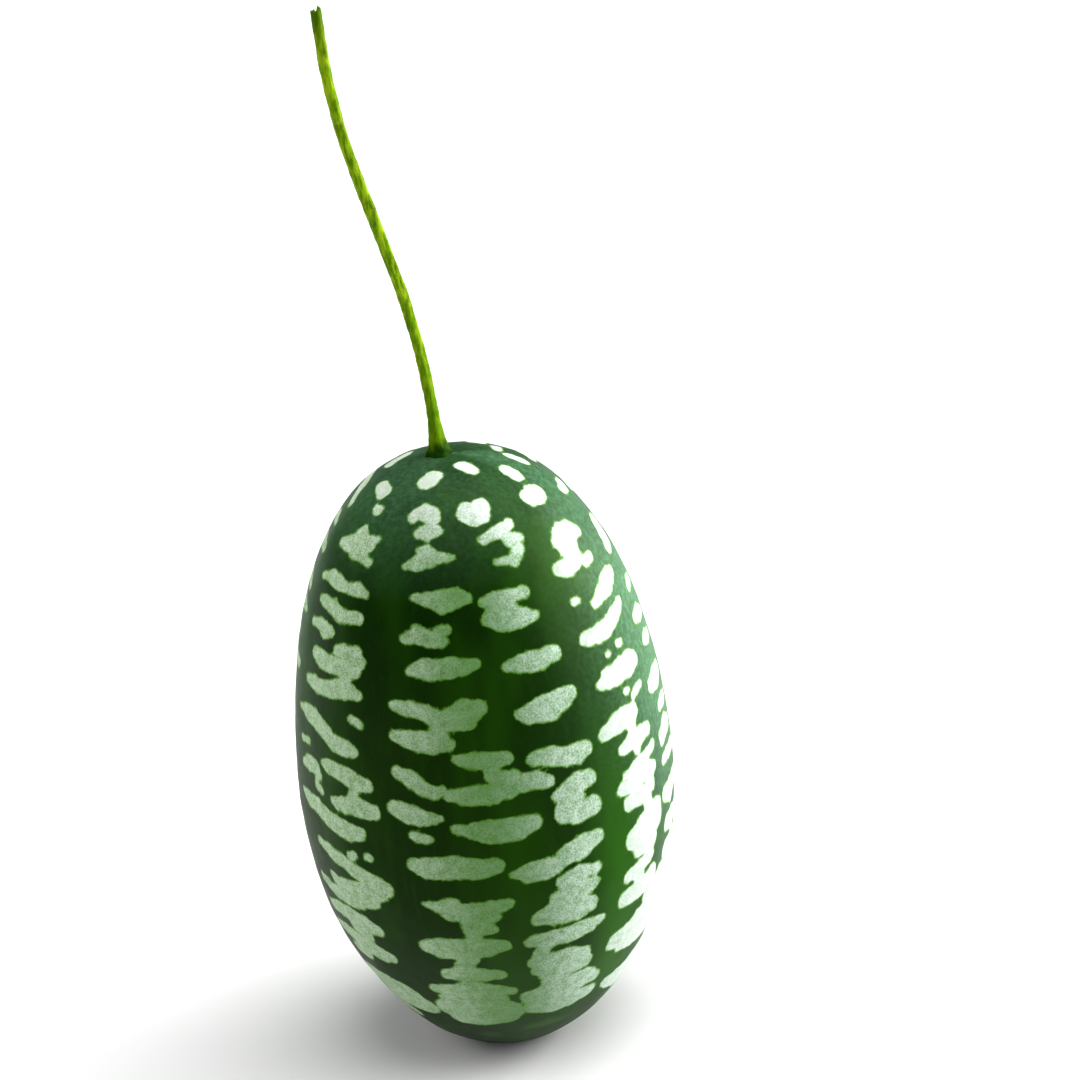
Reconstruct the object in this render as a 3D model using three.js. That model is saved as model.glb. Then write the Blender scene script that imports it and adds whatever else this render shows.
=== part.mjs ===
// A mouse melon (cucamelon) as picked: the small egg-shaped fruit and its thin stalk.
// Millimetres, +Z up. The origin is the centre of the flat spot that the fruit rests on,
// at its blossom end. -Y is the front, and the stalk leans towards -X.
import * as THREE from 'three';

// Driving dimensions of the fruit.
const FRUIT_RADIUS = 9.5;        // half of the width at mid height
const HALF_LENGTH = 16.4;        // from mid height to either uncut end
const SHOULDER_FULLNESS = 2.42;  // 2 is an ellipse, more is squarer: the stalk end
const BLOSSOM_FULLNESS = 1.89;   // the same for the blossom end
const STALK_END_TAPER = 0.088;   // how much narrower the stalk end is than the blossom end
const BOW = 0.18;                // how far the stalk end is bent towards -X
const REST_RADIUS = 2.8;         // the flat spot underneath
const SEAT_RADIUS = 1.5;         // the flat spot on top, round the foot of the stalk

// Driving dimensions of the stalk.
const STALK_HEIGHT = 21.5;       // above the fruit
const STALK_RADIUS = 0.26;       // along most of its length
const FOOT_RADIUS = 0.56;        // where it meets the fruit
const FOOT_HEIGHT = 2.8;         // over which the foot narrows to the stalk
const TIP_RADIUS = 0.24;         // the cut end
const STALK_LEAN = [-0.62, -0.7, -0.95, -1.42, -2.08, -2.78, -3.42, -3.76, -3.85];

// How finely the round bodies are divided.
const FRUIT_SIDES = 48;
const FRUIT_RINGS = 26;
const STALK_SIDES = 12;
const STALK_RINGS = 20;

// The fruit's radius at t, which runs from -1 at the blossom end to 1 at the stalk end.
function fruitRadius(t) {
  const fullness = t > 0 ? SHOULDER_FULLNESS : BLOSSOM_FULLNESS;
  const round = Math.max(0, 1 - Math.abs(t) ** fullness) ** (1 / fullness);
  return FRUIT_RADIUS * round * (1 - STALK_END_TAPER * t);
}

// The t of the ring near one end (-1 or 1) where the fruit has the given radius.
function ringOfRadius(radius, end) {
  let inner = 0.5;
  let outer = 1;
  for (let step = 0; step < 40; step += 1) {
    const middle = (inner + outer) / 2;
    if (fruitRadius(end * middle) > radius) inner = middle;
    else outer = middle;
  }
  return end * inner;
}

const REST_T = ringOfRadius(REST_RADIUS, -1);
const SEAT_T = ringOfRadius(SEAT_RADIUS, 1);
const fruitHeight = (t) => HALF_LENGTH * (t - REST_T);
const SEAT_HEIGHT = fruitHeight(SEAT_T);

// A profile of [radius, height] points, from axis to axis, turned about +Z. Each point of the
// surface is then carried sideways by as much as the axis lies aside at its height.
function turned(profile, sides, aside) {
  const points = profile.map(([radius, height]) => new THREE.Vector2(radius, height));
  const geometry = new THREE.LatheGeometry(points, sides);
  geometry.rotateX(Math.PI / 2);
  const place = geometry.getAttribute('position');
  for (let i = 0; i < place.count; i += 1) {
    place.setX(i, place.getX(i) + aside(place.getZ(i)));
  }
  geometry.computeVertexNormals();
  return geometry;
}

// The fruit: an egg-like body with a flat spot at each end. Its rings are even in angle, so
// they crowd towards the ends.
function fruitGeometry() {
  const first = Math.asin(REST_T);
  const last = Math.asin(SEAT_T);
  const profile = [[0, 0]];
  for (let ring = 0; ring <= FRUIT_RINGS; ring += 1) {
    const t = Math.sin(THREE.MathUtils.lerp(first, last, ring / FRUIT_RINGS));
    profile.push([fruitRadius(t), fruitHeight(t)]);
  }
  profile.push([0, SEAT_HEIGHT]);
  const middle = fruitHeight(0);
  const bow = (height) => -BOW * Math.max(0, (height - middle) / HALF_LENGTH) ** 2;
  return turned(profile, FRUIT_SIDES, bow);
}

// The stalk: a thin tapered rod with a flared foot, leaning over in a gentle S. It stands on
// the fruit's upper flat spot.
function stalkGeometry() {
  const profile = [[0, SEAT_HEIGHT]];
  for (let ring = 0; ring <= STALK_RINGS; ring += 1) {
    const up = STALK_HEIGHT * (ring / STALK_RINGS) ** 1.6;
    const flare = Math.max(0, 1 - up / FOOT_HEIGHT) ** 2;
    const rod = THREE.MathUtils.lerp(STALK_RADIUS, TIP_RADIUS, up / STALK_HEIGHT);
    profile.push([rod + (FOOT_RADIUS - rod) * flare, SEAT_HEIGHT + up]);
  }
  profile.push([0, SEAT_HEIGHT + STALK_HEIGHT]);
  const route = new THREE.SplineCurve(
    STALK_LEAN.map((x, i) => new THREE.Vector2(x, i / (STALK_LEAN.length - 1))));
  const lean = (height) => {
    const share = THREE.MathUtils.clamp((height - SEAT_HEIGHT) / STALK_HEIGHT, 0, 1);
    return route.getPoint(share).x;
  };
  return turned(profile, STALK_SIDES, lean);
}

function named(name, geometry, colour, roughness) {
  const material = new THREE.MeshStandardMaterial({ color: colour, roughness, metalness: 0 });
  const mesh = new THREE.Mesh(geometry, material);
  mesh.name = name;
  return mesh;
}

const melon = new THREE.Group();
melon.add(named('fruit', fruitGeometry(), 0x2f5a2a, 0.45));
melon.add(named('stem', stalkGeometry(), 0x8fae22, 0.5));

export default melon;
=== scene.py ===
"""A mouse melon as picked: a small egg-shaped fruit, dark green with bands of pale ragged
blotches, standing on its blossom end with its thin yellow-green stalk.

Everything is in metres, +Z up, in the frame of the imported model. The front is -Y, and a
longitude on the skin is measured in degrees from the front, positive towards +X.
"""
import math
import random

import bmesh
import bpy
import numpy as np
from mathutils import Matrix, Vector, noise


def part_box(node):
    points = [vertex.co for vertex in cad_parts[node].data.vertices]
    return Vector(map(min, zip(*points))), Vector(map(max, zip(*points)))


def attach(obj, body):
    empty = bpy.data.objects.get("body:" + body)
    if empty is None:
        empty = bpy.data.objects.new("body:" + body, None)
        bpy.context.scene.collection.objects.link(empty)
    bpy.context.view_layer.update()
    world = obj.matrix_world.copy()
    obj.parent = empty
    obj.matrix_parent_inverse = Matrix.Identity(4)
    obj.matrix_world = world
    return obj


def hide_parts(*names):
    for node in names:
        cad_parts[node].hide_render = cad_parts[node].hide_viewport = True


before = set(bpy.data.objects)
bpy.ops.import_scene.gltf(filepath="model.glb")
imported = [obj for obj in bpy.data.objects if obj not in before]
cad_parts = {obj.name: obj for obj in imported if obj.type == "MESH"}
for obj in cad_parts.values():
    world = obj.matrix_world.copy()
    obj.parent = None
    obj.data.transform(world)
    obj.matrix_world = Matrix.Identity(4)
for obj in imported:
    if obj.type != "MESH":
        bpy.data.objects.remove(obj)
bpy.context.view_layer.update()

MM = 0.001

# The egg: the fruit's box gives its size, and these give its shape.
FRUIT_LOW, FRUIT_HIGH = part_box("fruit")
RADIUS = (FRUIT_HIGH.y - FRUIT_LOW.y) / 2 / MM
FRUIT_TALL = (FRUIT_HIGH.z - FRUIT_LOW.z) / MM
REST_T = -0.954                 # where the resting spot cuts the egg, from -1 to 1
SEAT_T = 0.994                  # where the stalk's seat cuts it
SHOULDER_FULLNESS = 2.42        # 2 is an ellipse, more is squarer: the stalk end
BLOSSOM_FULLNESS = 1.89
STALK_END_TAPER = 0.088
BOW = 0.18                      # the stalk end is bent this far towards -X
HALF_LENGTH = FRUIT_TALL / (SEAT_T - REST_T)
SCAR_RADIUS = 0.95              # the corky blossom scar under the fruit
SCAR_DEPTH = 0.16
SCAR_PIP = 0.35                 # the scar's middle is a little shallower, out to this radius
REST_EDGE = 0.3                 # the edge of the resting spot is rounded over this height

# The skin's unevenness in mm: shallow ribs, and random lumps of two sizes.
RIBS = 11
RIB_DEPTH = 0.03
RIB_TURN = 12                   # degrees
LUMP_SIZE = 3.2
LUMP_DEPTH = 0.05
DIMPLE_SIZE = 1.1
DIMPLE_DEPTH = 0.02
SMOOTH_REST = 2                 # the ribs and lumps come in over this height,
SMOOTH_SEAT = 3                 # and over this distance from the stalk

# Slow changes of tone over the skin, most of them painted light and shade: a painted sheen,
# a painted lit stripe, and painted shade and painted light on the blotches. Each has a middle
# longitude and its spread to the sides, or two longitudes, or two heights in mm, between which
# it comes in.
# Painted sheen: a grey-green laid into the skin's colour where the lights' sheen falls, on the
# right flank, the left edge and the crown.
RIGHT_PAINTED_SHEEN = (80, 30)
RIGHT_PAINTED_SHEEN_FOOT = (6, 20)
RIGHT_PAINTED_SHEEN_TOP = (35, 25)
RIGHT_PAINTED_SHEEN_LEAST = 0.7
LEFT_PAINTED_SHEEN = (-88, 20)
LEFT_PAINTED_SHEEN_FOOT = (14, 22)
LEFT_PAINTED_SHEEN_SHARE = 0.3
CROWN_PAINTED_SHEEN_FOOT = (27.2, 31.2)
CROWN_PAINTED_SHEEN_SHARE = 0.28
CROWN_PAINTED_SHEEN_LEFT = (0, -40)
CROWN_PAINTED_SHEEN_LEFT_SHARE = 0.2
# A painted lit stripe: brighter green on the dark skin where the key light falls on the right side.
PAINTED_LIGHT_STRIPE = (42, 9)
PAINTED_LIGHT_STRIPE_TOP = (22, 14)
PAINTED_LIGHT_STRIPE_FOOT = (3, 6)
# Painted shade: the blotches are greener and darker towards the front, away from the key light, and
# a little everywhere below the crown.
PAINTED_SHADE_BAND = (1, 18)
PAINTED_SHADE_ELSEWHERE = 0.35
PAINTED_SHADE_TOP = (30.5, 28.5)
# Painted light: the blotches are whiter on the right side and on the crown, where the lights fall.
PAINTED_LIGHT_SIDE = (34, 48)
PAINTED_LIGHT_SIDE_SHARE = 0.55
PAINTED_LIGHT_CROWN_FROM = 29.8
PAINTED_LIGHT_CROWN_BLEND = 1.6
PAINTED_LIGHT_CROWN_SHARE = 0.9
PAINTED_LIGHT_CROWN_LOWER = (10, 40)
PAINTED_LIGHT_CROWN_DROP = 1.2
WARM_SIDE = (20, -30)
BACK_OF_LEFT = (-160, -120)
BACK_OF_RIGHT = (160, 120)

# How finely the skin is divided.
SKIN_RINGS = 258
SKIN_SIDES = 360

# The blotches that show best, each a string of round dabs (longitude, height above the
# resting spot in mm, radius in mm) that are joined up into one shape.
FAR_LEFT_BAND = [
    [(-99, 29.2, .22), (-92, 29.3, .35), (-85, 29.2, .2)],
    [(-101, 28.0, .2), (-92, 28.2, .42), (-82, 28.2, .25)],
    [(-104, 26.6, .25), (-95, 26.5, .45), (-87, 26.5, .4), (-82, 26.3, .2)],
    [(-103, 25.2, .3), (-93, 25.4, .42), (-84, 25.4, .35), (-78, 25.3, .2)],
    [(-100, 24.0, .3), (-92, 23.9, .4), (-85, 24.1, .3)],
    [(-105, 22.4, .3), (-96, 22.6, .5), (-86, 22.8, .5), (-77, 22.7, .25)],
    [(-104, 21.1, .3), (-95, 21.0, .45), (-86, 20.9, .4)],
    [(-106, 19.4, .3), (-98, 19.6, .5), (-89, 19.8, .5), (-84, 19.7, .3)],
    [(-104, 18.0, .4), (-94, 18.1, .5), (-86, 18.4, .3)],
    [(-107, 16.5, .3), (-98, 16.6, .5), (-90, 16.9, .5), (-83, 16.8, .3)],
    [(-105, 15.0, .4), (-95, 15.1, .5), (-85, 15.2, .35)],
    [(-107, 13.5, .4), (-97, 13.4, .6), (-88, 13.7, .5), (-82, 13.8, .3)],
    [(-104, 12.0, .5), (-95, 12.0, .6), (-85, 11.9, .45)],
    [(-98, 12.6, .5), (-95, 10.8, .6)],
    [(-106, 10.4, .4), (-97, 10.4, .7), (-87, 10.3, .5)],
    [(-96, 9.8, .6), (-94, 8.6, .6)],
    [(-105, 8.7, .5), (-96, 8.6, .7), (-86, 8.8, .5)],
    [(-105, 6.9, .6), (-95, 6.9, .9), (-85, 6.8, .6)],
    [(-103, 5.2, .6), (-94, 5.3, .9), (-84, 5.2, .6)],
]
LEFT_BAND = [
    [(-66, 29.0, .2), (-59, 29.15, .48), (-52, 29.25, .82), (-46, 29.4, .5), (-41, 29.6, .2)],
    [(-52, 29.5, .42), (-53.5, 29.9, .14)],
    [(-50, 29.0, .42), (-42.5, 28.7, .2)],
    [(-53, 29.0, .4), (-54.5, 28.75, .18)],
    [(-70, 27.4, .12), (-63, 27.55, .38), (-55, 27.5, .37), (-50, 27.5, .24), (-44, 27.5, .32),
     (-40, 27.45, .2)],
    [(-66, 26.4, .18), (-60, 26.45, .34), (-55, 26.4, .4), (-50, 26.2, .34), (-45, 26.3, .3),
     (-41, 26.35, .24)],
    [(-58, 26.7, .12), (-55, 26.75, .12)],
    [(-68, 25.25, .24), (-63, 25.35, .37), (-59, 25.25, .4), (-54, 25.3, .22)],
    [(-50, 24.6, .22), (-46, 24.7, .4), (-41, 24.7, .44), (-38, 24.45, .28)],
    [(-63, 24.0, .32), (-58, 23.9, .47), (-51, 23.95, .44), (-45, 23.95, .48), (-40, 23.9, .26)],
    [(-66, 22.5, .25), (-60, 22.55, .38), (-54, 22.65, .4), (-48, 22.85, .44), (-42, 23.0, .4),
     (-39, 22.9, .26)],
    [(-48, 23.2, .2), (-44, 23.5, .3)],
    [(-41, 21.65, .22), (-38, 21.55, .24)],
    [(-71, 20.8, .14), (-66, 20.85, .42), (-60, 20.8, .54), (-55, 20.6, .48), (-50, 20.2, .46),
     (-45, 20.1, .46), (-41, 20.05, .34)],
    [(-69, 19.2, .22), (-65, 19.35, .2)],
    [(-56, 18.7, .16), (-52, 18.75, .4), (-46, 18.75, .5), (-41, 18.55, .55), (-36, 18.5, .36)],
    [(-70, 17.9, .14), (-65, 18.15, .42), (-60, 18.2, .46), (-58, 17.9, .25)],
    [(-60, 17.7, .2), (-60, 17.3, .2), (-57, 17.1, .18)],
    [(-51, 17.0, .24), (-46, 17.05, .42), (-40, 17.2, .52), (-34.5, 17.15, .4)],
    [(-42, 17.6, .3), (-41, 18.1, .25)],
    [(-71, 16.2, .2), (-66, 16.1, .46), (-60, 16.1, .5), (-52, 15.8, .48), (-45, 15.65, .5),
     (-40, 15.8, .36)],
    [(-45, 14.3, .24), (-43.5, 14.45, .2)],
    [(-38.5, 14.6, .22), (-37.5, 14.6, .22)],
    [(-62, 14.0, .25), (-56, 13.9, .42), (-50, 13.75, .42), (-44, 13.5, .44), (-38, 13.2, .5),
     (-33.5, 13.0, .5)],
    [(-58, 12.3, .28), (-54, 12.1, .42), (-48, 12.2, .5), (-42, 12.4, .6), (-36, 12.8, .6)],
    [(-67, 11.5, .3), (-60, 11.3, .42), (-54, 11.4, .5), (-48, 11.5, .5), (-39, 12.0, .42)],
    [(-66, 9.9, .34), (-60, 10.1, .46), (-52, 10.35, .5), (-45, 10.2, .56), (-40.5, 10.1, .38)],
    [(-53, 9.6, .4), (-47, 9.4, .45)],
    [(-68, 8.5, .3), (-60, 8.6, .5), (-50, 8.6, .56), (-43, 8.35, .54), (-38.5, 8.3, .3)],
    [(-60, 7.6, .35), (-52, 7.8, .4)],
    [(-62, 5.8, .5), (-55, 5.7, .9), (-48, 5.6, 1.1), (-41, 5.3, 1.15), (-35, 4.9, .8)],
    [(-62, 4.4, .4), (-54, 4.3, .6), (-47, 3.7, .5)],
]
FRONT_BAND = [
    [(-23, 28.8, .16), (-17, 28.95, .36), (-12, 29.15, .42), (-6, 29.15, .2), (-1.5, 29.1, .15)],
    [(-16, 29.35, .26), (-14, 29.4, .26)],
    [(-19, 27.6, .12), (-13, 27.5, .34), (-7, 27.4, .5), (-2, 27.5, .45), (3, 27.45, .22)],
    [(-21.5, 25.8, .22), (-17, 26.05, .42), (-12, 25.85, .42), (-8, 25.75, .3)],
    [(-10, 26.1, .2), (-6, 26.2, .2)],
    [(-19.5, 24.4, .22), (-14, 24.5, .5), (-8, 24.5, .45), (-2, 24.55, .4), (2, 24.6, .24)],
    [(-25.5, 22.75, .22), (-20, 22.7, .4), (-15, 22.55, .4), (-11.5, 22.25, .38)],
    [(-8, 22.15, .5), (-3, 22.3, .7), (2, 22.55, .4)],
    [(-11, 21.9, .3), (-10, 21.4, .3)],
    [(-25.5, 21.25, .26), (-19, 21.15, .5), (-13, 21.1, .48), (-8, 20.95, .25)],
    [(-6.5, 20.25, .22), (-2, 20.1, .4), (4, 20.0, .42), (8.5, 20.1, .28)],
    [(3, 19.7, .3), (4.5, 19.1, .36), (10, 19.15, .3)],
    [(-25, 19.45, .3), (-21, 19.25, .42), (-18, 18.9, .42), (-14, 18.6, .32), (-11.5, 18.7, .22)],
    [(-9.5, 18.5, .26), (-5, 18.4, .44), (1, 18.35, .5), (7, 18.45, .38), (11, 18.7, .4),
     (16, 18.7, .42), (20, 18.5, .3)],
    [(-26.5, 17.6, .4), (-22, 17.4, .5), (-17, 17.25, .4), (-13, 17.3, .22)],
    [(-21.5, 16.25, .2), (-17, 16.15, .27)],
    [(-8.5, 16.7, .2), (-4, 16.55, .4), (2, 16.45, .6), (9, 16.5, .6), (14.5, 16.6, .34)],
    [(-22.5, 14.7, .34), (-18, 14.6, .6), (-11, 14.65, .62), (-4, 14.55, .56), (2, 14.6, .4)],
    [(-20.5, 12.5, .12), (-15, 12.4, .42), (-12, 12.65, .34)],
    [(-13, 12.15, .5), (-7, 12.1, .5), (-1, 12.2, .5), (4, 12.4, .26)],
    [(-8, 11.6, .4), (-5, 11.15, .42), (-1, 11.0, .24)],
    [(-8, 11.2, .35), (-7, 10.5, .3)],
    [(-5, 11.6, .36), (0, 11.7, .3)],
    [(-23.5, 9.85, .36), (-18, 9.8, .66), (-10, 9.8, .7), (-3, 9.8, .56), (1.5, 9.85, .32)],
    [(-9, 9.2, .4), (-12, 8.6, .45)],
    [(-22, 6.1, .4), (-14, 6.0, .5), (-2, 6.05, .42)],
    [(-18, 8.0, .36), (-12, 8.15, .6), (-6, 8.0, .42), (-1, 7.9, .3)],
    [(-25, 6.75, .3), (-18, 6.8, .5), (-10, 6.9, .62), (-3, 6.75, .5), (2.5, 6.6, .26)],
    [(-22, 5.2, .85), (-16, 5.0, 1.05), (-8, 4.95, 1.15), (-1, 5.0, .95)],
    [(-20, 4.4, .55), (-10, 4.3, .6), (0, 4.4, .5)],
]
RIGHT_FRONT_BAND = [
    [(14, 29.6, .22), (20, 29.75, .28), (26, 29.85, .34), (30, 29.95, .22)],
    [(27, 29.4, .38), (32, 29.35, .24)],
    [(29, 29.0, .34), (25, 28.6, .32)],
    [(17.5, 28.7, .18), (22, 28.65, .2)],
    [(9, 27.2, .26), (14, 27.15, .42), (20, 27.25, .3), (25, 27.3, .26)],
    [(9.5, 26.4, .32), (14, 26.35, .5), (20, 26.3, .48), (26, 26.2, .26)],
    [(12, 26.8, .4), (18, 26.8, .35)],
    [(13, 24.3, .22), (18, 24.3, .44), (24, 24.25, .5), (30, 24.35, .34)],
    [(14, 22.0, .22), (18, 21.95, .5), (24, 22.0, .68), (29, 22.2, .56), (31.5, 22.3, .36)],
    [(15.5, 19.8, .26), (20, 19.75, .42), (25, 19.5, .5), (30, 19.4, .54), (33.5, 19.5, .36)],
    [(23, 17.6, .42), (28, 17.95, .5), (33, 18.0, .4)],
    [(24, 17.1, .44), (28, 17.2, .42)],
    [(23.5, 17.0, .42), (24, 16.6, .54), (29, 16.4, .52), (33.5, 16.5, .48)],
    [(6, 14.0, .14), (11, 14.0, .5), (16, 14.0, .6), (20, 14.1, .42)],
    [(22, 14.4, .5), (28, 14.6, .64), (33, 14.8, .4)],
    [(21, 13.1, .36), (26, 13.2, .48), (32, 13.15, .3)],
    [(19, 12.2, .42), (24, 12.2, .7), (31, 12.3, .36)],
    [(13, 11.2, .42), (18, 11.3, .7), (25, 11.3, .8), (30, 11.2, .42)],
    [(10, 9.85, .36), (17, 9.8, .52), (24, 9.8, .52), (30, 9.8, .46), (34, 9.95, .24)],
    [(11, 8.4, .42), (17, 8.3, .62), (23, 8.3, .62), (28, 8.1, .44)],
    [(15, 7.4, .42), (22, 7.4, .52), (29, 7.5, .42)],
    [(10, 5.9, .62), (16, 6.0, .9), (23, 6.1, .92), (30, 6.2, .72), (34, 6.0, .44)],
    [(9.5, 5.0, .42), (17, 4.8, .6), (26, 4.8, .65), (34, 4.9, .5)],
    [(13, 9.1, .4), (12, 7.9, .4)],
    [(15, 6.9, .35), (22, 6.9, .4)],
]
RIGHT_BAND = [
    [(49, 28.6, .32), (55, 28.8, .56), (61, 28.7, .52), (66, 28.5, .28)],
    [(51, 28.15, .38), (57, 28.2, .36)],
    [(43, 27.6, .34), (47, 27.55, .44), (53, 27.6, .44), (56, 27.75, .3)],
    [(58, 27.3, .27), (63, 27.35, .27)],
    [(44, 26.05, .2), (45.5, 26.05, .2)],
    [(53, 25.6, .28), (57, 25.75, .4), (63, 25.85, .5), (69, 26.1, .46), (72, 26.1, .28)],
    [(43, 24.3, .36), (48, 24.25, .46), (54, 24.3, .5), (60, 24.5, .4), (67, 24.8, .3)],
    [(50.5, 23.15, .16), (51, 23.15, .16)],
    [(57, 23.3, .2), (59, 23.3, .2)],
    [(44, 22.0, .28), (48, 22.1, .55), (55, 22.1, .65), (60, 22.15, .6), (63.5, 22.1, .42)],
    [(54, 21.0, .2), (55, 21.0, .2)],
    [(57.5, 20.6, .2), (61, 20.75, .3), (63.5, 20.8, .22)],
    [(41, 19.6, .34), (46, 19.9, .5), (51, 19.9, .6), (55, 19.9, .5)],
    [(53, 19.4, .4), (54, 18.0, .34)],
    [(47, 18.5, .3), (52, 18.6, .5), (57, 18.6, .5), (61.5, 18.5, .36)],
    [(47, 17.1, .22), (52, 17.2, .4), (58, 17.3, .36), (63, 17.5, .26)],
    [(44, 16.5, .32), (50, 16.5, .42), (57, 16.6, .6), (61.5, 16.4, .4)],
    [(47, 15.6, .4), (53, 15.6, .52), (59, 15.7, .42)],
    [(55, 15.4, .4), (56, 14.6, .4)],
    [(48, 13.6, .62), (53, 13.8, .85), (59, 13.9, .9), (61.5, 14.2, .5)],
    [(50, 12.9, .5), (57, 12.8, .55)],
    [(45, 11.6, .36), (50, 11.7, .5), (55, 12.0, .5)],
    [(44, 10.3, .5), (50, 10.4, .62), (57, 10.6, .6)],
    [(50, 11.1, .42), (52, 10.6, .42)],
    [(57, 10.8, .5), (58, 9.8, .6)],
    [(57, 9.5, .6), (65, 9.6, 1.0), (72, 9.4, 1.0)],
    [(42, 7.8, .6), (47, 7.8, .8), (54, 8.3, .9), (62, 8.6, 1.1), (68, 9.3, 1.0)],
    [(46, 7.3, .5), (55, 7.2, .65), (64, 7.3, .9), (74, 7.8, .9)],
    [(44.5, 4.8, .42), (50, 4.6, .8), (58, 4.6, 1.2), (66, 4.8, 1.25), (74, 5.2, 1.0)],
]
FAR_RIGHT_BAND = [
    [(84, 29.8, .28), (90, 29.85, .42), (95, 29.9, .3)],
    [(81, 26.9, .36), (85, 27.3, .62), (88, 27.8, .6)],
    [(80, 24.75, .26), (83, 24.85, .4), (86, 24.9, .26)],
    [(75, 23.4, .32), (80, 23.4, .5), (84, 23.3, .34)],
    [(76, 22.1, .26), (80, 22.1, .42), (84, 22.0, .3)],
    [(71, 20.1, .42), (76, 20.1, .62), (82, 20.2, .44)],
    [(75, 18.6, .3), (80, 18.7, .42), (84, 18.6, .3)],
    [(72, 17.2, .5), (77, 17.4, .62), (83, 17.2, .4)],
    [(71, 16.0, .3), (77, 15.9, .42), (84, 15.9, .34)],
    [(69, 14.2, .45), (75, 14.0, .7), (82, 14.2, .5)],
    [(70, 12.5, .5), (76, 12.3, .65), (84, 12.4, .4)],
    [(70, 11.0, .6), (76, 10.8, .75), (84, 10.8, .5)],
    [(72, 9.3, .6), (79, 9.2, .75), (87, 9.4, .4)],
    [(71, 7.7, .6), (78, 7.6, .75), (86, 7.7, .5)],
    [(72, 5.9, .6), (79, 5.9, .8), (87, 6.0, .5)],
]
# The dabs round the stalk: longitude, distance down the skin from its centre, radius.
CROWN = [
    [(-115, 2.4, .3), (-103, 3.0, .36)],
    [(-112, 4.2, .3), (-101, 4.4, .4), (-92, 4.75, .42), (-84, 5.4, .32)],
    [(-66, 3.75, .38), (-58, 3.9, .44)],
    [(-53, 4.85, .3), (-51, 4.85, .3)],
    [(-19.5, 2.35, .46), (-22.5, 2.75, .5)],
    [(-24, 4.95, .26), (-21, 4.65, .32), (-16.5, 4.4, .36), (-12, 4.6, .34), (-10.5, 4.95, .3)],
    [(-17, 4.75, .3), (-14, 4.75, .26)],
    [(-18, 5.65, .3), (-14, 5.6, .4), (-9, 5.5, .3)],
    [(23, 1.6, .38), (27, 1.86, .44), (30, 2.2, .38)],
    [(10, 4.75, .55), (13, 4.9, .64)],
    [(18.5, 4.55, .44), (17, 4.95, .52)],
    [(61.6, 3.25, .42), (62.5, 3.7, .42)],
    [(54, 5.0, .52), (58.5, 5.05, .62), (62, 5.1, .52)],
    [(93.5, 3.05, .36), (91.5, 3.6, .38)],
]
# Faint marks on the dark cap round the blossom end.
CAP_SMUDGES = [
    [(9, 3.1, .3), (17, 3.2, .42), (24, 3.1, .3)],
    [(-12, 2.6, .3), (-8, 2.6, .3)],
    [(50, 3.3, .3), (58, 3.4, .4)],
    [(-84, 3.2, .3), (-76, 3.1, .4)],
]
NAMED_BANDS = (FAR_LEFT_BAND + LEFT_BAND + FRONT_BAND
               + RIGHT_FRONT_BAND + RIGHT_BAND + FAR_RIGHT_BAND)
BACK_BANDS = (114, 145, 177, 209, 240)   # the longitudes of the bands behind
MARK_REACH = 3.0                # skin further than this from a dab takes no notice of it

# The stalk, in mm. The depths of its ribs, lobes and bumps are shares of its radius.
STEM_LOW, STEM_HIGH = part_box("stem")
STEM_FOOT = STEM_LOW.z / MM
STEM_TOP = STEM_HIGH.z / MM
STEM_TALL = (STEM_HIGH.z - STEM_LOW.z) / MM
STALK_RADIUS = 0.285
TIP_RADIUS = 0.27
TIP_FLAT = 0.8                  # this share of the tip's radius is cut flat
TIP_HOLLOW = 0.12               # how deep the cut tip is sunk in its middle
FOOT_RADIUS = 0.56
FOOT_HEIGHT = 2.8
FOOT_BACK = 0.2                 # the foot sits this far behind the middle
FOOT_BACK_HEIGHT = 6            # and the stalk is back in the middle at this height
COLLAR_SWELL = 0.12             # the foot spreads this far over the fruit
COLLAR_HEIGHT = 0.35
STALK_RIBS = 5
STALK_RIB_DEPTH = 0.035
STALK_RIB_TWIST = 0.25          # radians in each mm
FOOT_LOBES = 7
LOBE_DEPTH = 0.07
LOBE_TURN = 0.6                 # radians
LOBE_HEIGHT = 0.7
GRIT_SIZE = 0.34
GRIT_DEPTH = 0.10
FOOT_GRIT_DEPTH = 0.16          # this much more at the foot
KNOB_SIZE = 1.1
KNOB_DEPTH = 0.10
KNOB_SQUASH = (1, 1, 0.35)      # draws the knobs out along the stalk
RAGGED_HEIGHT = 0.5             # the tip is ragged over this height
RAGGED_RISE = 0.14
RAGGED_SIZE = 0.16
RAGGED_DEPTH = 0.3
# How far towards +X the stalk stands, at even steps from its foot to its tip.
STALK_LEAN = (-0.62, -0.7, -0.95, -1.42, -2.08, -2.78, -3.42, -3.76, -3.85)
LEAN_STEPS = 200
LEAN_SMOOTHING = 60             # rounds of smoothing that take the corners off the lean
STEM_RINGS = 240
STEM_SIDES = 40

# The view: the fruit stands upright, and the picture is turned a little.
VIEW_DISTANCE = 114
VIEW_ELEVATION = 23
VIEW_ROLL = -5.49
VIEW_LENS = 77.6
VIEW_AIM = Vector((3.84, 0, 27.07))
TABLE_REACH = 6                 # metres from the middle to the table's edge
ROOM_LIGHT = 0.13


def smooth_max(a, b, reach):
    """The larger of two values, rounded off where they cross."""
    near = np.clip(1 - np.abs(a - b) / reach, 0, None)
    return np.maximum(a, b) + near * near * reach / 4


def ramp(value, start, end):
    """0 on one side of start, 1 past end, and even between them."""
    return np.clip((value - start) / (end - start), 0, 1)


def beside(longitude, middle, spread):
    """1 at the middle longitude, fading away to its sides."""
    return np.exp(-((longitude - middle) / spread) ** 2)


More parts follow.
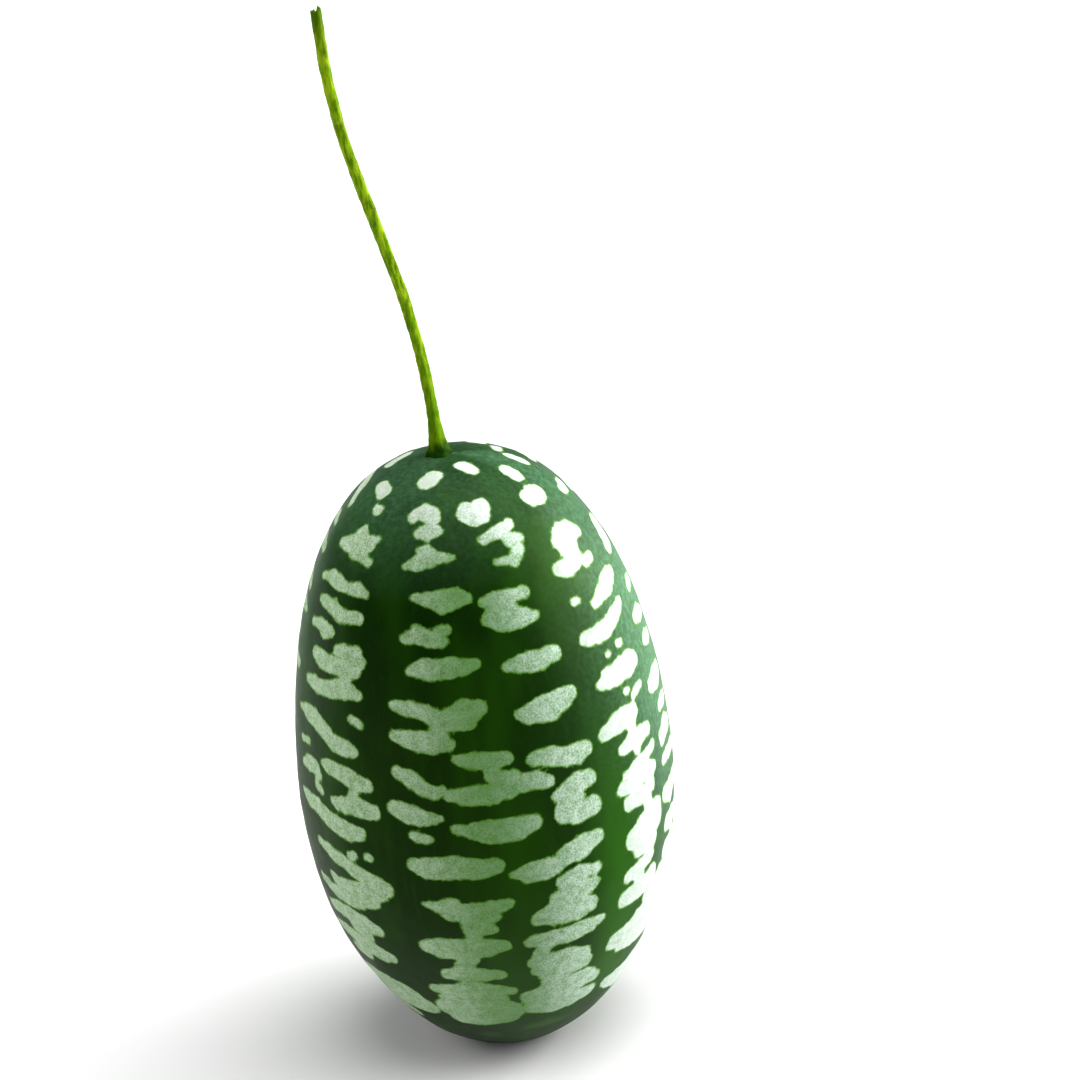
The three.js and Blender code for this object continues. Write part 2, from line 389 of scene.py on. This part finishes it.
def egg_radius(t):
    """The fruit's radius in mm at t, from -1 at the blossom end to 1 at the stalk end."""
    fullness = np.where(t > 0, SHOULDER_FULLNESS, BLOSSOM_FULLNESS)
    round_off = np.clip(1 - np.abs(t) ** fullness, 0, None) ** (1 / fullness)
    return RADIUS * round_off * (1 - STALK_END_TAPER * t)


def skin_profile():
    """Radius, height and distance along the skin, in mm, in even steps from the blossom scar
    to the stalk."""
    t = np.sin(np.linspace(-math.pi / 2, math.pi / 2, 20001))
    radius = egg_radius(t)
    height = smooth_max(HALF_LENGTH * (t - REST_T), 0 * t, REST_EDGE)
    scar = np.clip(1 - (radius / SCAR_RADIUS) ** 4, 0, None) * (t < 0)
    height = height + SCAR_DEPTH * scar * (1 - 0.6 * ramp(radius, SCAR_PIP, 0))
    steps = np.hypot(np.diff(radius), np.diff(height))
    along = np.concatenate([[0], np.cumsum(steps)])
    even = np.linspace(0, along[-1], SKIN_RINGS)
    return np.interp(even, along, radius), np.interp(even, along, height), even


def turned(name, radius, height, along, sides):
    """A mesh turned about Z from a profile in mm. Every vertex keeps its distance along it."""
    bm = bmesh.new()
    far = bm.verts.layers.float.new("along")
    line = []
    for r, z, s in zip(radius, height, along):
        vert = bm.verts.new((float(r) * MM, 0, float(z) * MM))
        vert[far] = float(s)
        line.append(vert)
    edges = [bm.edges.new(pair) for pair in zip(line, line[1:])]
    bmesh.ops.spin(bm, geom=line + edges, axis=(0, 0, 1), cent=(0, 0, 0),
                   angle=math.tau, steps=sides, use_merge=True)
    bmesh.ops.remove_doubles(bm, verts=bm.verts, dist=1e-7)
    bmesh.ops.recalc_face_normals(bm, faces=bm.faces)
    mesh = bpy.data.meshes.new(name)
    bm.to_mesh(mesh)
    bm.free()
    mesh.polygons.foreach_set("use_smooth", [True] * len(mesh.polygons))
    piece = bpy.data.objects.new(name, mesh)
    bpy.context.scene.collection.objects.link(piece)
    return piece


def points_of(piece):
    """The piece's vertices in mm, and each one's distance along its profile."""
    mesh = piece.data
    place = np.empty(len(mesh.vertices) * 3)
    mesh.vertices.foreach_get("co", place)
    along = np.empty(len(mesh.vertices))
    mesh.attributes["along"].data.foreach_get("value", along)
    return place.reshape(-1, 3) / MM, along


def put_points(piece, place):
    piece.data.vertices.foreach_set("co", (place * MM).ravel())
    piece.data.update()


def give_attribute(piece, name, values):
    layer = piece.data.attributes.new(name, "FLOAT", "POINT")
    layer.data.foreach_set("value", values.astype(np.float32))


def swell(place, size, seed):
    """Smooth random waves over the points, about -1 to 1, of the given size in mm."""
    shift = Vector((seed * 17.3, seed * 5.1, seed * 9.7))
    return np.array([noise.noise(Vector(p) / size + shift) for p in place])


def back_marks(rng):
    """Bands like the named ones for the side behind: dabs near the stalk, bars at mid
    height, and bars that run together towards the blossom end."""
    crown, bands = [], []
    for middle in BACK_BANDS:
        for down in (2.6, 4.5):
            lean = rng.uniform(-2, 2)
            crown.append([(middle + lean - 5, down, rng.uniform(.26, .36)),
                          (middle + lean + 4, down + rng.uniform(-.2, .2), rng.uniform(.3, .42))])
        height = rng.uniform(29.2, 29.8)
        while height > 4.4:
            low = 1 - (height - 4) / 26
            half = rng.uniform(9, 12) + 2.5 * low
            thick = rng.uniform(.36, .5) + .25 * low ** 2
            side = middle + rng.uniform(-3, 3)
            tilt = rng.uniform(-.3, .3)
            bar = []
            for share in (-1, -.5, 0, .5, 1):
                fat = thick * rng.uniform(.8, 1.15) * (1 if abs(share) < 1 else .5)
                bar.append((side + share * half, height + share * tilt + rng.uniform(-.1, .1), fat))
            if low < .6 and rng.random() < .25:
                bands += [bar[:2], bar[3:]]
            else:
                bands.append(bar)
            step = rng.uniform(1.25, 1.65) + .15 * (1 - low)
            if low > .55 and rng.random() < low:
                knob = side + rng.uniform(-5, 5)
                bands.append([(knob, height, .5), (knob + rng.uniform(-2, 2), height - step, .5)])
            if rng.random() < .2:
                spot = middle + rng.choice((-1, 1)) * (half + 1)
                bands.append([(spot, height - step / 2, .18), (spot + 1, height - step / 2, .18)])
            height -= step
    return crown, bands


def inside_marks(longitude, along, radius, marks):
    """How many mm each skin point lies inside the nearest edge of the marks, each a string of
    (longitude, distance along the skin, radius). Points outside are negative."""
    best = np.full(len(along), -MARK_REACH)
    for mark in marks:
        for (lon_a, far_a, fat_a), (lon_b, far_b, fat_b) in zip(mark, mark[1:]):
            near = np.abs(along - (far_a + far_b) / 2) < MARK_REACH + abs(far_a - far_b)
            turn = np.radians((longitude[near] - lon_a + 180) % 360 - 180)
            x = turn * radius[near]
            y = along[near] - far_a
            run = np.radians(lon_b - lon_a) * radius[near]
            rise = far_b - far_a
            share = np.clip((x * run + y * rise) / (run * run + rise * rise + 1e-9), 0, 1)
            gap = np.hypot(x - share * run, y - share * rise)
            best[near] = np.maximum(best[near], fat_a + (fat_b - fat_a) * share - gap)
    return best


def tone_skin(fruit, longitude, height):
    """Attributes for the slow changes of tone over the skin, most of them painted light and shade:
    a painted sheen, a painted lit stripe, and painted shade and painted light on the blotches.
    What differs between left and right fades out again towards the back."""
    left = ramp(longitude, *BACK_OF_LEFT)
    right = ramp(longitude, *BACK_OF_RIGHT)

    # Painted sheen on the right flank, the left edge and the crown.
    right_painted_sheen = beside(longitude, *RIGHT_PAINTED_SHEEN) * ramp(height, *RIGHT_PAINTED_SHEEN_FOOT)
    right_painted_sheen *= np.maximum(ramp(height, *RIGHT_PAINTED_SHEEN_TOP), RIGHT_PAINTED_SHEEN_LEAST)
    left_painted_sheen = beside(longitude, *LEFT_PAINTED_SHEEN) * ramp(height, *LEFT_PAINTED_SHEEN_FOOT)
    more_left = CROWN_PAINTED_SHEEN_LEFT_SHARE * ramp(longitude, *CROWN_PAINTED_SHEEN_LEFT) * left
    crown_painted_sheen = ramp(height, *CROWN_PAINTED_SHEEN_FOOT) * (CROWN_PAINTED_SHEEN_SHARE + more_left)
    side_painted_sheen = np.maximum(right_painted_sheen, LEFT_PAINTED_SHEEN_SHARE * left_painted_sheen)
    give_attribute(fruit, "painted_sheen", np.maximum(side_painted_sheen, crown_painted_sheen))

    # Painted light: a brighter green stripe on the right side.
    painted_light_stripe = beside(longitude, *PAINTED_LIGHT_STRIPE) * ramp(height, *PAINTED_LIGHT_STRIPE_TOP)
    give_attribute(fruit, "painted_light_stripe", painted_light_stripe * ramp(height, *PAINTED_LIGHT_STRIPE_FOOT))

    # Painted shade on the blotches, most towards the front.
    painted_shade = PAINTED_SHADE_ELSEWHERE + (1 - PAINTED_SHADE_ELSEWHERE) * beside(longitude, *PAINTED_SHADE_BAND)
    give_attribute(fruit, "painted_shade", painted_shade * ramp(height, *PAINTED_SHADE_TOP))

    # Painted light on the blotches of the right side and the crown, kept in the attribute 'white'.
    painted_light_side = PAINTED_LIGHT_SIDE_SHARE * ramp(longitude, *PAINTED_LIGHT_SIDE) * right
    painted_light_from = PAINTED_LIGHT_CROWN_FROM - PAINTED_LIGHT_CROWN_DROP * ramp(longitude, *PAINTED_LIGHT_CROWN_LOWER) * right
    painted_light_crown = PAINTED_LIGHT_CROWN_SHARE * ramp(height, painted_light_from, painted_light_from + PAINTED_LIGHT_CROWN_BLEND)
    give_attribute(fruit, "white", np.maximum(painted_light_side, painted_light_crown))

    give_attribute(fruit, "warm", ramp(longitude, *WARM_SIDE) * left)


def ripple_skin(place, longitude, to_stalk):
    """Ribs and lumps on the skin, all but the resting spot and the stalk's seat, and the bend
    of the stalk end."""
    free = ramp(place[:, 2], 0, SMOOTH_REST) * ramp(to_stalk, 0, SMOOTH_SEAT)
    lumps = LUMP_DEPTH * swell(place, LUMP_SIZE, 1) + DIMPLE_DEPTH * swell(place, DIMPLE_SIZE, 2)
    ribs = RIB_DEPTH * (np.cos(np.radians(longitude + RIB_TURN) * RIBS) - 1)
    round_radius = np.hypot(place[:, 0], place[:, 1])
    grow = 1 + free * (lumps + ribs) / np.maximum(round_radius, 1)
    place[:, :2] *= grow[:, None]
    t = place[:, 2] / HALF_LENGTH + REST_T
    place[:, 0] -= BOW * np.clip(t, 0, None) ** 2


def make_fruit():
    """The whole fruit. The attributes 'blotch' and 'smudge' keep how far inside a mark each
    point of the skin is."""
    radius, height, along = skin_profile()
    fruit = turned("fruit_skin", radius, height, along, SKIN_SIDES)
    place, far = points_of(fruit)
    longitude = np.degrees(np.arctan2(place[:, 0], -place[:, 1]))
    round_radius = np.hypot(place[:, 0], place[:, 1])
    rising = height > 0.05       # leaves out the flat resting spot

    def up_the_skin(mark):
        return [(lon, np.interp(z, height[rising], along[rising]), fat) for lon, z, fat in mark]

    def from_stalk(mark):
        return [(lon, along[-1] - down, fat) for lon, down, fat in mark]

    crown, bands = back_marks(random.Random(7))
    blotches = [up_the_skin(mark) for mark in NAMED_BANDS + bands]
    blotches += [from_stalk(mark) for mark in CROWN + crown]
    smudges = [up_the_skin(mark) for mark in CAP_SMUDGES]
    give_attribute(fruit, "blotch", inside_marks(longitude, far, round_radius, blotches))
    give_attribute(fruit, "smudge", inside_marks(longitude, far, round_radius, smudges))
    tone_skin(fruit, longitude, place[:, 2])
    ripple_skin(place, longitude, along[-1] - far)
    put_points(fruit, place)
    return fruit


def roughen_stalk(place, rise):
    """Ribs along the stalk, lobes round its foot, bumps of two sizes and a ragged tip."""
    angle = np.arctan2(place[:, 1], place[:, 0])
    foot = ramp(rise, LOBE_HEIGHT, 0)
    ribs = STALK_RIB_DEPTH * np.cos(STALK_RIBS * angle + rise * STALK_RIB_TWIST)
    lobes = LOBE_DEPTH * foot * np.cos(FOOT_LOBES * angle + LOBE_TURN)
    grit = (GRIT_DEPTH + FOOT_GRIT_DEPTH * foot) * swell(place, GRIT_SIZE, 3)
    knobs = KNOB_DEPTH * swell(place * KNOB_SQUASH, KNOB_SIZE, 4)
    place[:, :2] *= (1 + ribs + lobes + grit + knobs)[:, None]
    ragged = ramp(rise, STEM_TALL - RAGGED_HEIGHT, STEM_TALL)
    uneven = RAGGED_DEPTH * swell(place * (1, 1, 0), RAGGED_SIZE, 5)
    place[:, 2] += ragged * (RAGGED_RISE + uneven)


def lean_stalk(place, rise):
    """Bends the straight stalk to its lean, and sets its foot back."""
    steps = np.linspace(0, STEM_TALL, LEAN_STEPS)
    lean = np.interp(steps, np.linspace(0, STEM_TALL, len(STALK_LEAN)), STALK_LEAN)
    for _ in range(LEAN_SMOOTHING):
        lean[1:-1] = (lean[:-2] + 2 * lean[1:-1] + lean[2:]) / 4
    place[:, 0] += np.interp(rise, steps, lean)
    place[:, 1] += FOOT_BACK * ramp(rise, FOOT_BACK_HEIGHT, 0)


def make_stem():
    """The thin stalk, turned straight with its flared foot, then roughened and bent."""
    up = STEM_TALL * np.linspace(0, 1, STEM_RINGS) ** 1.25     # rings closer at the foot
    rod = STALK_RADIUS + (TIP_RADIUS - STALK_RADIUS) * up / STEM_TALL
    rod = rod + (FOOT_RADIUS - rod) * ramp(up, FOOT_HEIGHT, 0) ** 2
    rod = rod + COLLAR_SWELL * np.exp(-(up / COLLAR_HEIGHT) ** 2)
    radius = np.concatenate([[0], rod, rod[-1:] * TIP_FLAT, [0]])
    height = np.concatenate([[0], up, up[-1:], [STEM_TALL - TIP_HOLLOW]]) + STEM_FOOT
    stem = turned("stalk", radius, height, height, STEM_SIDES)
    place, _ = points_of(stem)
    rise = place[:, 2] - STEM_FOOT
    roughen_stalk(place, rise)
    lean_stalk(place, rise)
    put_points(stem, place)
    return stem


class Shade:
    """One output of a shader node. Arithmetic on it adds Math nodes."""

    def __init__(self, paint, socket):
        self.paint = paint
        self.socket = socket

    def math(self, operation, first, second):
        return self.paint.node("ShaderNodeMath", {"operation": operation}, {0: first, 1: second})

    def __add__(self, other):
        return self.math("ADD", self, other)

    def __sub__(self, other):
        return self.math("SUBTRACT", self, other)

    def __rsub__(self, other):
        return self.math("SUBTRACT", other, self)

    def __mul__(self, other):
        return self.math("MULTIPLY", self, other)

    __radd__ = __add__
    __rmul__ = __mul__

    def step(self, low, high):
        """0 below low and 1 above high, smooth between them."""
        return self.paint.node("ShaderNodeMapRange", {"interpolation_type": "SMOOTHSTEP"},
                               {"Value": self, "From Min": low, "From Max": high})


class Paint:
    """A material and the few ways in which its nodes are added."""

    def __init__(self, name):
        self.material = bpy.data.materials.new(name)
        self.material.use_nodes = True
        self.tree = self.material.node_tree
        self.shader = self.tree.nodes["Principled BSDF"]
        self.place = self.node("ShaderNodeTexCoord", {}, {}, "Object")

    def node(self, kind, settings, inputs, output=0):
        node = self.tree.nodes.new(kind)
        for name, value in settings.items():
            setattr(node, name, value)
        for key, value in inputs.items():
            self.feed(node.inputs[key], value)
        return Shade(self, node.outputs[output])

    def feed(self, socket, value):
        if isinstance(value, Shade):
            self.tree.links.new(value.socket, socket)
        else:
            socket.default_value = value

    def height(self):
        """The height above the table in mm."""
        return self.node("ShaderNodeSeparateXYZ", {}, {0: self.place}, 2) * (1 / MM)

    def relief(self, height, depth, strength):
        """A bump whose full height is depth mm."""
        return self.node("ShaderNodeBump", {}, {
            "Strength": strength, "Distance": depth * MM, "Height": height})

    def grain(self, size, detail=2.0, stretch=(1, 1, 1)):
        """Noise from 0 to 1 whose lumps are about size mm, stretched along the axes."""
        scaled = self.node("ShaderNodeMapping", {}, {
            "Vector": self.place, "Scale": [1 / MM / size / way for way in stretch]})
        return self.node("ShaderNodeTexNoise", {}, {
            "Vector": scaled, "Scale": 1.0, "Detail": detail, "Roughness": 0.55})

    def attribute(self, name):
        return self.node("ShaderNodeAttribute", {"attribute_name": name}, {}, "Fac")

    def mix(self, share, first, second):
        return self.node("ShaderNodeMix", {"data_type": "RGBA"},
                         {0: share, 6: first, 7: second}, 2)

    def finish(self, links, values):
        for name, value in {**links, **values}.items():
            self.feed(self.shader.inputs[name], value)
        return self.material


def colour(red, green, blue):
    return (red, green, blue, 1)


DEEP_GREEN = colour(0.0035, 0.023, 0.001)
LEAF_GREEN = colour(0.011, 0.054, 0.001)
# The green of the painted lit stripe.
PAINTED_LIGHT_GREEN = colour(0.022, 0.110, 0.002)
# The colour of the painted sheen.
PAINTED_SHEEN_GREY = colour(0.135, 0.275, 0.165)
BLOTCH_PALE = colour(0.71, 0.78, 0.76)
# The whiter colour of the painted light on the blotches.
BLOTCH_PAINTED_LIGHT = colour(0.64, 0.67, 0.66)
BLOTCH_GREEN = colour(0.062, 0.180, 0.030)
BLOTCH_WARM = colour(0.22, 0.42, 0.005)
RIM_GREEN = colour(0.10, 0.24, 0.03)
SCAR_BROWN = colour(0.16, 0.10, 0.04)
STALK_GREEN = colour(0.105, 0.215, 0.002)
STALK_LIGHT = colour(0.29, 0.41, 0.016)
STALK_DARK = colour(0.030, 0.085, 0.002)
FOOT_DARK = colour(0.012, 0.055, 0.003)

# Sizes in the finish of the skin and the stalk, in mm.
BLOTCH_FRAY = 0.42              # how far coarse noise moves a blotch's edge,
BLOTCH_FINE_FRAY = 0.1          # and fine noise
BLOTCH_GROWTH = 0.07            # every blotch is grown by this
SKIN_RELIEF = 0.02
STALK_RELIEF = 0.03
SCAR_TOP = (0.25, 0.4)          # the heights between which the corky colour ends,
SCAR_RIM = (0.9, 1.15)          # and the distances from the middle


def dark_skin(paint, speck, painted_sheen):
    """The green between the blotches: deeper and leaf-green stripes and streaks, a grey-green
    painted sheen and a painted lit stripe.
    """
    stripe = paint.grain(2.6, 2.0, (1, 1, 5))
    green = paint.mix(stripe.step(0.35, 0.75), DEEP_GREEN, LEAF_GREEN)
    streak = paint.grain(0.3, 3.0, (1, 1, 7))
    green = paint.mix(streak.step(0.5, 0.85) * 0.5, green, LEAF_GREEN)
    # Painted sheen: grey-green on the lit flanks and the crown.
    green = paint.mix(painted_sheen, green, PAINTED_SHEEN_GREY)
    # Painted light: the lit stripe on the right side.
    green = paint.mix(paint.attribute("painted_light_stripe") * 0.75, green, PAINTED_LIGHT_GREEN)
    return paint.mix(speck.step(0.45, 0.8) * 0.35, green, LEAF_GREEN)


def pale_skin(paint, speck, mottle):
    """The blotches: pale with green mottling, painted shade towards the front, painted light on
    the right side and the crown, and warmer in places.
    """
    cloud = speck.step(0.3, 0.68) * 0.45 + mottle.step(0.25, 0.75) * 0.35 + 0.2
    pale = paint.mix(cloud, BLOTCH_GREEN, BLOTCH_PALE)
    # Painted shade: greener and darker towards the front.
    pale = paint.mix(paint.attribute("painted_shade") * 0.8, pale, BLOTCH_GREEN)
    # Painted light: whiter on the right side and the crown.
    pale = paint.mix(paint.attribute("white") * 0.8, pale, BLOTCH_PAINTED_LIGHT)
    return paint.mix(paint.attribute("warm") * 0.17, pale, BLOTCH_WARM)


def scar_cork(paint, height, mottle):
    """Where the blossom scar's corky skin is, from 0 to 1."""
    flat = paint.node("ShaderNodeMapping", {}, {
        "Vector": paint.place, "Scale": (1 / MM, 1 / MM, 0)})
    middle = paint.node("ShaderNodeVectorMath", {"operation": "LENGTH"}, {0: flat}, 1)
    ragged = middle + (mottle - 0.5) * 0.4
    return (1 - height.step(*SCAR_TOP)) * (1 - ragged.step(*SCAR_RIM))


def skin_paint():
    """Dark green waxy skin. The attribute 'blotch' places the pale marks, and fine noise
    frays their edges and mottles them."""
    paint = Paint("melon_skin")
    height = paint.height()
    speck = paint.grain(0.09, 2.0)
    mottle = paint.grain(0.45, 3.0)
    fray = (paint.grain(0.75, 3.0) - 0.5) * BLOTCH_FRAY
    fray = fray + (paint.grain(0.22, 2.0) - 0.5) * BLOTCH_FINE_FRAY
    edge = paint.attribute("blotch") + fray + BLOTCH_GROWTH
    inside = edge.step(-0.05, 0.07)
    core = edge.step(0.01, 0.14)
    # Where the grey-green sheen is painted, speckled; it also makes the skin a little rougher
    # there.
    painted_sheen = paint.attribute("painted_sheen") * (paint.grain(0.25, 4.0).step(0.3, 0.75) * 0.5 + 0.5)

    mark = paint.mix(core, RIM_GREEN, pale_skin(paint, speck, mottle))
    skin = paint.mix(inside, dark_skin(paint, speck, painted_sheen), mark)
    smudge = (paint.attribute("smudge") + fray).step(-0.3, 0.3) * 0.35
    skin = paint.mix(smudge, skin, BLOTCH_GREEN)
    skin = paint.mix(scar_cork(paint, height, mottle), skin, SCAR_BROWN)

    relief = speck * 0.25 + paint.grain(0.3, 3.0) * 0.6 + inside * 0.35
    rough = 0.38 + paint.grain(0.5, 3.0) * 0.12 + inside * 0.04 + painted_sheen * 0.10
    waxy = height.step(20, 30) * 0.04 + (1 - height.step(7, 14)) * 0.15
    return paint.finish({"Base Color": skin, "Roughness": rough, "Coat Weight": waxy,
                         "Normal": paint.relief(relief, SKIN_RELIEF, 0.35)},
                        {"Specular IOR Level": 0.16, "Specular Tint": colour(0.55, 1.0, 0.15),
                         "Coat Roughness": 0.4})


def stalk_paint():
    """Fresh yellow-green stalk with darker streaks, dark at its foot and at the cut tip."""
    paint = Paint("stalk_green")
    height = paint.height()
    streak = paint.grain(0.16, 3.0, (1, 1, 5))
    patch = paint.grain(0.5, 3.0, (1, 1, 2))
    speck = paint.grain(0.08, 2.0)
    green = paint.mix(streak.step(0.35, 0.65), STALK_GREEN, STALK_LIGHT)
    green = paint.mix(patch.step(0.5, 0.7) * 0.6 + speck.step(0.5, 0.8) * 0.3, green, STALK_DARK)
    low = 1 - height.step(STEM_FOOT + 0.8, STEM_FOOT + 8)
    green = paint.mix(low * 0.7, green, STALK_GREEN)
    green = paint.mix(height.step(STEM_TOP - 2.2, STEM_TOP) * 0.6, green, STALK_DARK)
    seam = height + (patch - 0.5) * 1.2
    green = paint.mix(1 - seam.step(STEM_FOOT + 0.2, STEM_FOOT + 0.9), green, FOOT_DARK)
    return paint.finish({"Base Color": green,
                         "Normal": paint.relief(streak + speck, STALK_RELIEF, 0.5)},
                        {"Roughness": 0.55, "Specular IOR Level": 0.1,
                         "Specular Tint": colour(0.7, 1.0, 0.1)})


def floor_paint():
    paint = Paint("white_table")
    return paint.finish({}, {"Base Color": colour(0.78, 0.775, 0.778), "Roughness": 0.9,
                             "Specular IOR Level": 0.1})


def make_floor():
    mesh = bpy.data.meshes.new("floor")
    bm = bmesh.new()
    bmesh.ops.create_grid(bm, x_segments=1, y_segments=1, size=TABLE_REACH)
    bm.to_mesh(mesh)
    bm.free()
    floor = bpy.data.objects.new("floor", mesh)
    bpy.context.scene.collection.objects.link(floor)
    mesh.materials.append(floor_paint())


def make_sun(name, longitude, elevation, softness, strength, sheen=True):
    """Soft light from far away, so that it falls evenly over the table. One without sheen
    isn't reflected in the glossy skin."""
    light = bpy.data.lights.new(name, "SUN")
    light.energy = strength
    light.angle = math.radians(softness)
    sun = bpy.data.objects.new(name, light)
    bpy.context.scene.collection.objects.link(sun)
    around = Matrix.Rotation(math.radians(longitude), 4, "Z")
    tip = Matrix.Rotation(math.radians(90 - elevation), 4, "X")
    sun.matrix_world = around @ tip
    sun.visible_glossy = sheen


def make_world():
    """A dim even room, with a plain white background where the table ends."""
    world = bpy.data.worlds.new("studio")
    world.use_nodes = True
    tree = world.node_tree
    room = tree.nodes["Background"]
    room.inputs["Color"].default_value = colour(0.97, 0.98, 1.0)
    room.inputs["Strength"].default_value = ROOM_LIGHT
    white = tree.nodes.new("ShaderNodeBackground")
    white.inputs["Color"].default_value = colour(1, 1, 1)
    seen = tree.nodes.new("ShaderNodeLightPath")
    both = tree.nodes.new("ShaderNodeMixShader")
    tree.links.new(seen.outputs["Is Camera Ray"], both.inputs[0])
    tree.links.new(room.outputs[0], both.inputs[1])
    tree.links.new(white.outputs[0], both.inputs[2])
    tree.links.new(both.outputs[0], tree.nodes["World Output"].inputs["Surface"])
    bpy.context.scene.world = world


def make_camera():
    """Looks along +Y and down at the fruit, rolled a little so that the fruit leans."""
    data = bpy.data.cameras.new("camera")
    data.lens = VIEW_LENS
    data.sensor_width = 36
    camera = bpy.data.objects.new("camera", data)
    bpy.context.scene.collection.objects.link(camera)
    pitch = Matrix.Rotation(math.radians(90 - VIEW_ELEVATION), 4, "X")
    roll = Matrix.Rotation(math.radians(VIEW_ROLL), 4, "Z")
    back = pitch @ Vector((0, 0, VIEW_DISTANCE))
    camera.matrix_world = Matrix.Translation((VIEW_AIM + back) * MM) @ pitch @ roll
    bpy.context.scene.camera = camera


def show(piece, material, node):
    piece.data.materials.append(material)
    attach(piece, "root")
    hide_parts(node)


make_camera()
make_world()
make_floor()
make_sun("key_right", longitude=98, elevation=11, softness=56, strength=7.4)
make_sun("overhead", longitude=85, elevation=74, softness=60, strength=2.7)
make_sun("left_fill", longitude=-84, elevation=34, softness=60, strength=1.4, sheen=False)
make_sun("left_behind", longitude=-130, elevation=14, softness=30, strength=1.0, sheen=False)
show(make_fruit(), skin_paint(), "fruit")
show(make_stem(), stalk_paint(), "stem")
bpy.context.scene.view_settings.view_transform = "Standard"
bpy.context.scene.view_settings.gamma = 0.8      # deepens the darks of the skin
